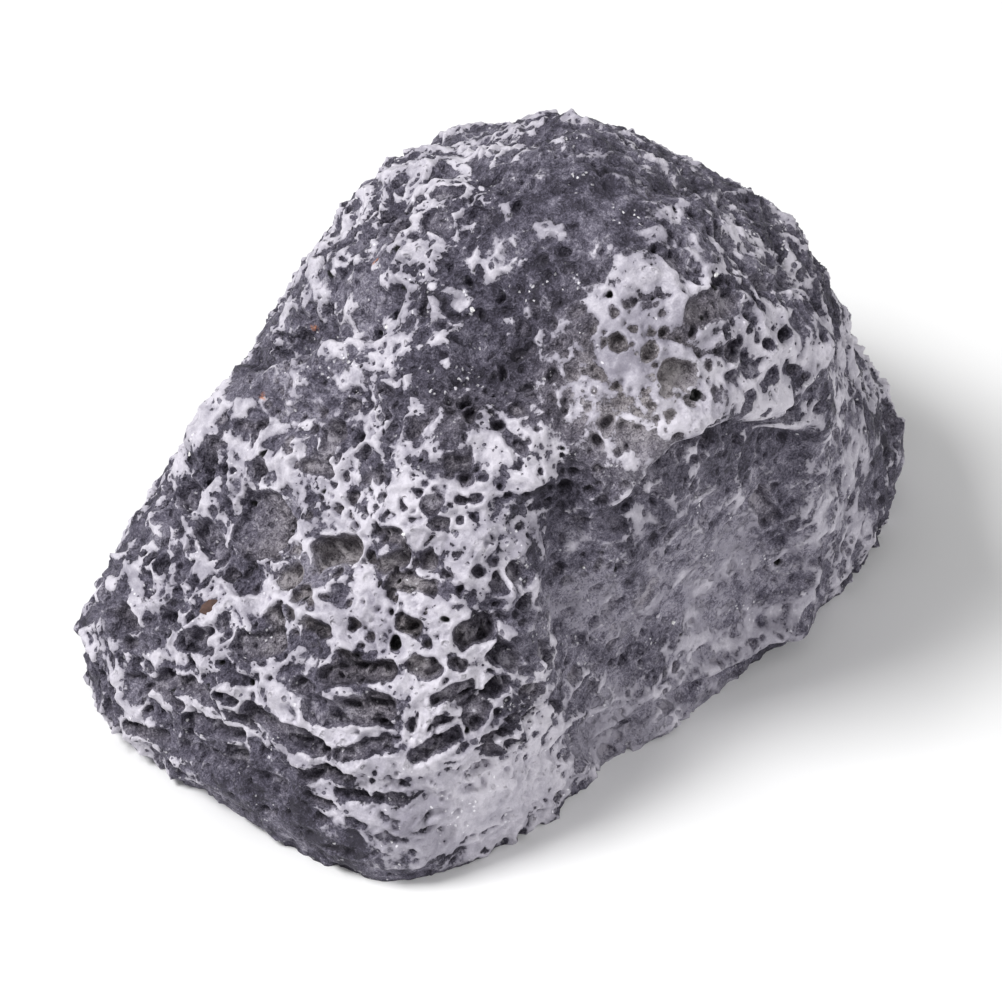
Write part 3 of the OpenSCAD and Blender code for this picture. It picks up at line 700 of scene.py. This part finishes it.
# tone of each coat, 0 to 1 from its darkest to its lightest colour
# painted shade: in the dark coat each hole's rim is darkened, most on its upper side, and tip
# lightens the lower side of the hole, partly paint dust and partly painted light
rim = np.exp(-(((hole_gap + 0.10) / 0.16) ** 2))
dark_tone = (0.53 + 0.085 * wash_and_painted_relief_light + 0.10 * patches + (0.08 + 0.07 * worn) * mottle
             + 0.05 * grain + slate - 0.22 * dent - 0.16 * painted_crease_shade
             + 0.10 * smooth(-0.15, -0.7, hole_gap) - 0.12 * rim * (0.7 - 0.6 * tip) + 0.10 * tip
             + 0.16 * (hole_shade - 0.5) * smooth(0.1, -0.3, hole_gap) + 0.10 * fade)
light_tone = (0.53 + 0.075 * wash_and_painted_relief_light + 0.26 * smooth(0.0, 0.9, coat)
              + 0.5 * smooth(0.1, -0.1, fleck_gap) - 0.33 * worn + near(LIGHTER)
              + 0.10 * patches + 0.06 * mottle + 0.04 * grain - 0.12 * fade)
warm = np.clip(0.2 + 0.5 * fractal(pos, 8, 97) + near(WARM_HOLES), 0, 1)
warm = np.clip(warm * smooth(0.1, -0.3, hole_gap) + near(WARM_SKIN), 0, 1)
SKIN_VALUES = dict(
    coat=coat, soft=soft, dark=dark_tone, light=light_tone,
    # the bubble gap here only sets the near-black painted shade inside the casting bubbles
    bubble_shade_gap=bubble_gap, lace=lace, warm=warm, rust=rust_gap,
)

# ---- the carved skin: level at the foot and clear of the seat ----
SEAT_LENGTH, SEAT_WIDTH, SEAT_CORNER, SEAT_TOP = 72, 40, 10, 9.8
LEDGE = 12.8  # where the hollow starts

base_z = base[:, 2]
seat_x = np.abs(base[:, 0]) - (SEAT_LENGTH / 2 - SEAT_CORNER)
seat_y = np.abs(base[:, 1]) - (SEAT_WIDTH / 2 - SEAT_CORNER)
seat_gap = np.hypot(np.maximum(seat_x, 0), np.maximum(seat_y, 0)) - SEAT_CORNER
room = np.where(base_z < 12, seat_gap, 9.0)
height = np.maximum(height, -np.clip(room - 1.6, 0.2, 3.0))
free = smooth(0.0, 2.2, base_z)[:, None]
level = base_normals * np.array([1, 1, 0])
level /= np.linalg.norm(level, axis=1, keepdims=True) + 1e-9
skin = base + (base_normals * free + level * (1 - free)) * height[:, None]
skin[:, 2] = np.where(base_z <= 1e-6, 0.0, np.maximum(skin[:, 2], 0.02 + 0.2 * base_z))


# ---- meshes ----
def new_mesh(name, points, faces):
    mesh = bpy.data.meshes.new(name)
    mesh.from_pydata((np.asarray(points) * MM).tolist(), [], faces)
    mesh.validate()
    mesh.update()
    return mesh


def add_object(name, data):
    obj = bpy.data.objects.new(name, data)
    bpy.context.scene.collection.objects.link(obj)
    return obj


def put_on_rock(name, mesh, replaced):
    obj = add_object(name, mesh)
    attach(obj, "rock")
    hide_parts(replaced)
    return obj


def grid_faces(points, n):
    """Quads over an n by n dome, facing out, and the loop that closes it below."""
    index = np.arange(n * n).reshape(n, n)
    quads = np.stack([index[:-1, :-1], index[:-1, 1:], index[1:, 1:], index[1:, :-1]], -1)
    quads = quads.reshape(-1, 4)
    rim = np.concatenate([index[0, :-1], index[:-1, -1], index[-1, :0:-1], index[:0:-1, 0]])
    grid, mid = points.reshape(n, n, 3), n // 2
    top = grid[mid, mid]
    if np.cross(grid[mid, mid + 1] - top, grid[mid + 1, mid] - top)[2] < 0:
        return quads[:, ::-1], rim
    return quads, rim[::-1]


def rock_mesh():
    quads, rim = grid_faces(skin, GRID)
    mesh = bpy.data.meshes.new("rock")
    mesh.vertices.add(len(skin))
    mesh.vertices.foreach_set("co", (skin * MM).astype(np.float32).ravel())
    loops = np.concatenate([quads.ravel(), rim])
    mesh.loops.add(len(loops))
    mesh.loops.foreach_set("vertex_index", loops.astype(np.int32))
    count = len(quads)
    mesh.polygons.add(count + 1)
    mesh.polygons.foreach_set("loop_start", (np.arange(count + 1) * 4).astype(np.int32))
    mesh.update(calc_edges=True)
    mesh.validate()
    for key, values in SKIN_VALUES.items():
        attribute = mesh.attributes.new(key, "FLOAT", "POINT")
        attribute.data.foreach_set("value", np.asarray(values, np.float32))
    # the skin fills most of the map, the underside a strip beside it
    uv = np.empty((len(loops), 2), np.float32)
    uv[:, 0] = 0.475 + 0.47 * square_a[loops]
    uv[:, 1] = 0.475 + 0.47 * square_b[loops]
    uv[count * 4 :, 0] = 0.975 + skin[rim, 1] * 0.0005
    uv[count * 4 :, 1] = 0.08 + skin[rim, 0] * 0.0012
    mesh.uv_layers.new(name="OFBake").data.foreach_set("uv", uv.ravel())
    underside = np.zeros(count + 1, bool)
    underside[count] = True
    mesh.polygons.foreach_set("material_index", underside.astype(np.int32))
    mesh.polygons.foreach_set("use_smooth", ~underside)
    return mesh


def slab(length, width, corner, z0, z1, steps=12):
    """Round-cornered block standing from z0 to z1: points and faces."""
    x, y = length / 2 - corner, width / 2 - corner
    outline = []
    for cx, cy, start in ((x, y, 0), (-x, y, 90), (-x, -y, 180), (x, -y, 270)):
        for i in range(steps + 1):
            turn = (start + 90 * i / steps) * DEG
            outline.append((cx + corner * math.cos(turn), cy + corner * math.sin(turn)))
    n = len(outline)
    points = [(px, py, z) for z in (z0, z1) for px, py in outline]
    sides = [(i, (i + 1) % n, n + (i + 1) % n, n + i) for i in range(n)]
    return points, [tuple(range(n))[::-1], tuple(range(n, 2 * n))] + sides


def block(x0, x1, y0, y1, z0, z1):
    points = [(x, y, z) for z in (z0, z1) for y in (y0, y1) for x in (x0, x1)]
    return points, [
        (0, 2, 3, 1), (4, 5, 7, 6), (0, 1, 5, 4), (2, 6, 7, 3), (0, 4, 6, 2), (1, 3, 7, 5),
    ]


def hollow(wall=5.5, n=90):
    """The core drawn in by the wall."""
    d = square_to_dome(n)[0]
    points = d * (core_radius(d) - wall)[:, None] * STRETCH
    quads, rim = grid_faces(points, n)
    return points.tolist(), [tuple(map(int, quad)) for quad in quads] + [tuple(map(int, rim))]


def boolean(obj, cutter, operation):
    cut = obj.modifiers.new("cut", "BOOLEAN")
    cut.operation, cut.solver, cut.object = operation, "MANIFOLD", cutter
    cut.material_mode = "TRANSFER"
    depsgraph = bpy.context.evaluated_depsgraph_get()
    mesh = bpy.data.meshes.new_from_object(obj.evaluated_get(depsgraph))
    obj.modifiers.remove(cut)
    old = obj.data
    obj.data = mesh
    mesh.name = old.name
    bpy.data.meshes.remove(old)


def temp(shape):
    return add_object("temp", new_mesh("temp", *shape))


def map_inside(mesh):
    """Flat faces, each mapped along its main axis into the strip beside the skin."""
    uvs = mesh.uv_layers.new(name="OFBake").data
    for face in mesh.polygons:
        normal = face.normal
        axis = max(range(3), key=lambda i: abs(normal[i]))
        start = (0.3, 0.44, 0.16)[axis] + (0.42 if normal[axis] > 0 else 0.0)
        for loop in face.loop_indices:
            co = mesh.vertices[mesh.loops[loop].vertex_index].co
            u, v = (co[i] for i in range(3) if i != axis)
            uvs[loop].uv = (0.975 + v * 0.4, start + 0.06 + u * 1.2)
        face.material_index = 0
        face.use_smooth = False


def cut_underside(rock, material):
    """Seat, way up, room for the tray, hatch slot and hollow, as in the CAD shell."""
    tool = temp(hollow())
    parts = [temp(block(-60, 60, -60, 60, LEDGE, 80))]
    boolean(tool, parts[0], "INTERSECT")
    for shape in (
        slab(SEAT_LENGTH, SEAT_WIDTH, SEAT_CORNER, -1, SEAT_TOP),
        slab(66, 34, 7, 0, LEDGE + 0.01),
        slab(60.6, 30.6, 3, 0, 18.8),
        block(20, 70, -19, 19, -1, 4.4),
    ):
        parts.append(temp(shape))
        boolean(tool, parts[-1], "UNION")
    tool.data.materials.clear()
    tool.data.materials.append(material)
    map_inside(tool.data)
    boolean(rock, tool, "DIFFERENCE")
    for obj in parts + [tool]:
        mesh = obj.data
        bpy.data.objects.remove(obj)
        bpy.data.meshes.remove(mesh)


# ---- materials ----
def srgb(*rgb):
    """Linear colour from 0-255 values."""
    shares = [c / 255 for c in rgb]
    return (*(c / 12.92 if c <= 0.04045 else ((c + 0.055) / 1.055) ** 2.4 for c in shares), 1)


class Socket:
    """A node's output; sums with other sockets or numbers become Math nodes."""

    def __init__(self, mat, node, out=0):
        self.mat, self.node, self.out = mat, node, out

    def __add__(self, other):
        return self.mat.math("ADD", self, other)

    def __radd__(self, other):
        return self.mat.math("ADD", other, self)

    def __sub__(self, other):
        return self.mat.math("SUBTRACT", self, other)

    def __rsub__(self, other):
        return self.mat.math("SUBTRACT", other, self)

    def __mul__(self, other):
        return self.mat.math("MULTIPLY", self, other)

    def __truediv__(self, other):
        return self.mat.math("DIVIDE", self, other)


class Mat:
    """Short hand for building a node tree. Input values may be sockets or numbers."""

    def __init__(self, name):
        self.material = bpy.data.materials.new(name)
        self.material.use_nodes = True
        self.tree = self.material.node_tree
        self.tree.nodes.clear()
        output = self.node("ShaderNodeOutputMaterial")
        self.bsdf = self.node("ShaderNodeBsdfPrincipled")
        self.feed(output, "Surface", Socket(self, self.bsdf, "BSDF"))

    def feed(self, node, key, value):
        if isinstance(value, Socket):
            self.tree.links.new(value.node.outputs[value.out], node.inputs[key])
        else:
            node.inputs[key].default_value = value

    def node(self, kind, inputs={}, **props):
        node = self.tree.nodes.new(kind)
        for key, value in props.items():
            setattr(node, key, value)
        for key, value in inputs.items():
            self.feed(node, key, value)
        return node

    @cached_property
    def coord(self):
        return Socket(self, self.node("ShaderNodeTexCoord"), "Object")

    def math(self, operation, a, b):
        return Socket(self, self.node("ShaderNodeMath", {0: a, 1: b}, operation=operation))

    def attr(self, name):
        return Socket(self, self.node("ShaderNodeAttribute", attribute_name=name), "Fac")

    def noise(self, mm, detail, rough, seed, distort=0.0):
        inputs = {"Vector": self.coord, "Scale": 1000.0 / mm, "Detail": detail,
                  "Roughness": rough, "W": seed, "Distortion": distort}
        return Socket(self, self.node("ShaderNodeTexNoise", inputs, noise_dimensions="4D"))

    def step(self, x, low, high):
        inputs = {0: x, 1: low, 2: high}
        kind = "ShaderNodeMapRange"
        return Socket(self, self.node(kind, inputs, interpolation_type="SMOOTHSTEP"))

    def ramp(self, x, stops):
        """Stops are (position, 0-255 colour)."""
        node = self.node("ShaderNodeValToRGB", {0: x})
        elements = node.color_ramp.elements
        while len(elements) < len(stops):
            elements.new(0.5)
        for element, (position, rgb) in zip(elements, stops):
            element.position = position
            element.color = srgb(*rgb)
        return Socket(self, node)

    def mix(self, share, a, b):
        # 6 and 7 are the colour inputs A and B, 2 the colour output
        return Socket(self, self.node("ShaderNodeMix", {0: share, 6: a, 7: b}, data_type="RGBA"), 2)

    def split(self, color):
        return self.node("ShaderNodeSeparateColor", {"Color": color})

    def set(self, name, value):
        self.feed(self.bsdf, name, value)

    def bump(self, height, strength, distance):
        inputs = {"Strength": strength, "Distance": distance, "Height": height}
        self.set("Normal", Socket(self, self.node("ShaderNodeBump", inputs), "Normal"))


def rock_material():
    mat = Mat("painted_resin")
    x, soft, dark, light, bubble_shade_gap, lace, warm, rust = (mat.attr(key) for key in SKIN_VALUES)
    coarse = mat.noise(1.7, detail=5, rough=0.62, seed=1.0, distort=0.4)
    medium = mat.noise(0.8, detail=4, rough=0.65, seed=2.0)
    fine = mat.noise(0.32, detail=3, rough=0.6, seed=3.0)
    finest = mat.noise(0.17, detail=2, rough=0.6, seed=4.0)
    # noise bends the outline of every cell pattern by up to 0.6 mm
    bend = mat.node("ShaderNodeTexNoise",
                    {"Vector": mat.coord, "Scale": 1000 / 0.7, "Detail": 2},
                    noise_dimensions="3D")
    place = Socket(mat, mat.node("ShaderNodeVectorMath",
                                 {0: Socket(mat, bend, "Color"), 1: (0.0006,) * 3, 2: mat.coord},
                                 operation="MULTIPLY_ADD"))

    def voronoi(cell):
        inputs = {"Vector": place, "Scale": 1000 / cell}
        node = mat.node("ShaderNodeTexVoronoi", inputs, feature="F1")
        return Socket(mat, node, "Distance"), Socket(mat, node, "Color")

    def holes(cell, share, smallest, largest):
        """Small holes through the pale coat: their mask, and a softer one for the bump."""
        distance, color = voronoi(cell)
        parts = mat.split(color)
        radius = Socket(mat, parts, 1) * (largest - smallest) + smallest
        chosen = mat.step(Socket(mat, parts, 0), share, share - 0.03)
        inside = distance / radius - 1.0
        return mat.step(inside, 0.12, -0.12) * chosen, mat.step(inside, 0.3, -0.9) * chosen

    hole1, dip1 = holes(cell=1.25, share=0.50, smallest=0.12, largest=0.42)
    hole2, dip2 = holes(cell=0.62, share=0.40, smallest=0.12, largest=0.36)
    open_skin = lace * 0.6 + 0.4
    holed = mat.math("MAXIMUM", hole1, hole2 * 0.8)
    ragged = (coarse - 0.5) * 1.5 + (medium - 0.5) * 1.8 + (fine - 0.5) * 1.1
    ragged = ragged * (lace * -0.7 + 1.7)
    grain = (fine - 0.5) * 1.2 + (finest - 0.5) * 1.6
    cover = mat.step(x + ragged - holed * open_skin * 1.7, soft * -0.5, soft * 0.5)
    # pebbly knobs: the seams between them are darker
    knobs = [(voronoi(cell)[0], cell, gain) for cell, gain in ((1.7, 2.6), (0.85, 1.5))]
    seam1, seam2 = (mat.step(knob, 0.38, 0.78) * 0.16 for knob, _, _ in knobs)
    dark = dark - (seam1 + seam2) + 0.07
    dark = dark + grain + ((coarse - 0.5) * 1.0 + (medium - 0.5) * 0.9)
    violet = mat.ramp(dark, [
        (0.0, (48, 44, 58)), (0.25, (73, 69, 85)), (0.5, (99, 95, 111)),
        (0.75, (126, 122, 137)), (1.0, (160, 156, 170)),
    ])
    tan = mat.ramp(dark, [
        (0.0, (45, 41, 47)), (0.25, (73, 68, 73)), (0.5, (100, 94, 98)),
        (0.75, (128, 122, 126)), (1.0, (164, 158, 161)),
    ])
    dark_color = mat.mix(warm, violet, tan)
    light = light + grain * 0.25 + ((coarse - 0.5) * 0.7 + (medium - 0.5) * 0.4)
    light_color = mat.ramp(light, [
        (0.0, (114, 110, 123)), (0.35, (146, 142, 155)), (0.65, (170, 166, 178)),
        (1.0, (206, 202, 212)),
    ])
    color = mat.mix(cover, dark_color, light_color)
    # casting bubbles coloured near black as painted shade inside the holes, rust spots, and bright
    # specks that are partly painted glints
    color = mat.mix(mat.step(bubble_shade_gap, 0.05, -0.10), color, srgb(14, 13, 16))
    rusty = mat.step(rust, 0.25, -0.1) * mat.step(fine, 0.42, 0.6)
    color = mat.mix(rusty, color, srgb(176, 112, 78))
    # clustered tiny white specks: partly real specks in the paint, partly painted glints
    distance, cell_color = voronoi(0.5)
    clusters = mat.noise(4.0, detail=3, rough=0.6, seed=9.0)
    speck_and_glint = mat.step(distance, 0.36, 0.22) * mat.step(clusters, 0.52, 0.64)
    speck_and_glint = speck_and_glint * mat.step(Socket(mat, mat.split(cell_color), 0), 0.70, 0.74)
    color = mat.mix(speck_and_glint * 0.85, color, srgb(240, 238, 244))
    mat.set("Base Color", color)
    mat.set("Roughness", 0.62 + (cover * -0.22 + (medium - 0.5) * 0.3))
    mat.set("Specular IOR Level", 0.45)
    rough = ((1.0 - cover) * 0.8 + 0.25) * (lace * 0.35 + 0.65)
    height = (fine * 2.0 + finest * 1.4 + medium * 2.5) * rough + cover * 0.5
    height = height - (dip1 * 2.2 + dip2 * 1.1) * open_skin * 1.0
    for knob, cell, gain in knobs:
        height = height - knob * (gain * cell) * rough
    mat.bump(height, strength=1.0, distance=0.00018)
    return mat.material


def plain_material(name, rgb, rough, metal=0.0, grain=0.25):
    """One colour with a fine grain, its size in mm."""
    mat = Mat(name)
    n = mat.noise(grain, detail=3, rough=0.6, seed=5.0)
    darker, lighter = [c * 0.8 for c in rgb], [min(255, c * 1.15) for c in rgb]
    mat.set("Base Color", mat.ramp(n, [(0.3, darker), (0.7, lighter)]))
    mat.set("Roughness", rough)
    mat.set("Metallic", metal)
    mat.bump(n, strength=0.2, distance=0.00005)
    return mat.material


rock = put_on_rock("rock", rock_mesh(), "rock_shell")
rock.data.materials.append(rock_material())
bare = plain_material("bare_resin", (62, 60, 66), rough=0.6, grain=0.6)
rock.data.materials.append(bare)
cut_underside(rock, bare)

# ---- mineral chips bedded in the skin: azimuth, tilt, longest half axis ----
CHIPS = [
    (176, 28, 1.55), (-142, 76, 0.5), (177, 73, 0.45), (-75, 62, 0.4), (-96, 22, 0.4),
    (150, 40, 0.45), (-118, 40, 0.3), (-152, 47, 0.4), (20, 30, 0.7), (100, 35, 0.6),
    (62, 50, 0.5), (-30, 24, 0.55),
]


def chips_mesh():
    bm = bmesh.new()
    random = np.random.RandomState(31)
    for chip, (azimuth, tilt, size) in enumerate(CHIPS):
        at = int(np.argmax(dirs @ unit(azimuth, tilt)))
        normal = Vector(base_normals[at])
        side = normal.orthogonal().normalized()
        turn = Matrix((side, normal.cross(side), normal)).transposed().to_4x4()
        turn = turn @ Matrix.Rotation(random.uniform(0, 6), 4, "Z")
        points = random.normal(size=(22, 3))
        points /= np.linalg.norm(points, axis=1, keepdims=True)
        points = points * random.uniform(0.75, 1.0, (22, 1)) * [size, 0.62 * size, 0.55 * size]
        verts = [bm.verts.new((Vector(skin[at]) + (turn @ Vector(p))) * MM) for p in points]
        hull = bmesh.ops.convex_hull(bm, input=verts)
        inner = [g for g in hull["geom_interior"] if isinstance(g, bmesh.types.BMVert)]
        bmesh.ops.delete(bm, geom=inner, context="VERTS")
        # new faces have index 0: the first chip is brown, the rest quartz, one too high for now
        for face in bm.faces:
            if face.material_index == 0:
                face.material_index = 1 if chip == 0 else 2
    for face in bm.faces:
        face.material_index -= 1
    bmesh.ops.recalc_face_normals(bm, faces=bm.faces)
    mesh = bpy.data.meshes.new("mineral_chips")
    bm.to_mesh(mesh)
    bm.free()
    return mesh


chips = put_on_rock("mineral_chips", chips_mesh(), "grit_chips")
chips.data.materials.append(plain_material("brown_chip", (84, 62, 55), rough=0.8, grain=0.5))
chips.data.materials.append(plain_material("quartz_chip", (226, 222, 226), rough=0.35, grain=0.3))

# CAD pieces kept as they are: piece, material, colour, roughness, metal
for piece, name, rgb, rough, metal in (
    ("compartment_tray", "moulded_plastic", (38, 38, 41), 0.42, 0.0),
    ("sliding_lid", "hatch_plastic", (34, 34, 37), 0.38, 0.0),
    ("base_plate", "plate_plastic", (58, 57, 60), 0.7, 0.0),
    ("tray_gasket", "foam", (22, 22, 23), 0.95, 0.0),
    ("lid_seal", "foam_seal", (20, 20, 21), 0.95, 0.0),
    ("tray_screws", "zinc_steel", (170, 172, 176), 0.35, 1.0),
):
    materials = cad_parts[piece].data.materials
    materials.clear()
    materials.append(plain_material(name, rgb, rough, metal))

# ---- floor: a disc of 900 mm radius ----
turns = [i * 5 * DEG for i in range(72)]
disc = [(900 * math.cos(turn), 900 * math.sin(turn), 0) for turn in turns]
floor = add_object("floor", new_mesh("floor", disc, [tuple(range(72))]))
paper = Mat("floor_paper")
paper.set("Base Color", (0.9, 0.9, 0.9, 1))
paper.set("Roughness", 0.9)
floor.data.materials.append(paper.material)

# ---- world: soft white light, seen by the camera as plain white ----
scene = bpy.context.scene
world = bpy.data.worlds.new("studio")
scene.world = world
world.use_nodes = True
nodes, links = world.node_tree.nodes, world.node_tree.links
glow = nodes["Background"]
glow.inputs["Color"].default_value = (1, 1, 1, 1)
glow.inputs["Strength"].default_value = 0.45
backdrop = nodes.new("ShaderNodeBackground")
backdrop.inputs["Color"].default_value = (1, 1, 1, 1)
ray = nodes.new("ShaderNodeLightPath")
chosen = nodes.new("ShaderNodeMixShader")
links.new(ray.outputs["Is Camera Ray"], chosen.inputs[0])
links.new(glow.outputs[0], chosen.inputs[1])
links.new(backdrop.outputs[0], chosen.inputs[2])
world_output = next(node for node in nodes if node.type == "OUTPUT_WORLD")
links.new(chosen.outputs[0], world_output.inputs["Surface"])

# ---- lights and camera, in metres ----
VIEW_TURN, VIEW_TILT = -50 * DEG, 42 * DEG
CAMERA_DISTANCE = 0.6
to_camera = Vector((
    math.sin(VIEW_TURN) * math.cos(VIEW_TILT),
    -math.cos(VIEW_TURN) * math.cos(VIEW_TILT),
    math.sin(VIEW_TILT),
))
forward = Vector((to_camera.x, to_camera.y, 0))  # level, towards the camera
right = Vector((math.cos(VIEW_TURN), math.sin(VIEW_TURN), 0))
up = Vector((0, 0, 1))


def look(obj, place, target):
    obj.location = place
    obj.rotation_euler = (target - place).to_track_quat("-Z", "Y").to_euler()


def area_light(name, place, size, power):
    light = bpy.data.lights.new(name, "AREA")
    light.energy = power
    light.size = size
    look(add_object(name, light), place, Vector((0, 0, 0.03)))


area_light("key", -right * 0.5 + up * 0.75 + forward * 0.15, size=0.32, power=7.6)
area_light("fill", right * 0.8 + up * 0.35 + forward * 0.6, size=0.7, power=2.6)

scene.view_settings.view_transform = "Standard"
scene.view_settings.look = "None"

lens = bpy.data.cameras.new("camera")
lens.sensor_width = 36
lens.lens = 207.786826
# the shift centres the rock's outline in the frame
lens.shift_x = 0.02384731
lens.shift_y = -0.10791916
camera = bpy.data.objects.new("camera", lens)
aim = Vector((0, 0, 0.025))
look(camera, aim + to_camera * CAMERA_DISTANCE, aim)
# the rotation is taken from the place as the object stores it
camera.rotation_euler = (aim - camera.location).to_track_quat("-Z", "Y").to_euler()
scene.collection.objects.link(camera)
scene.camera = camera
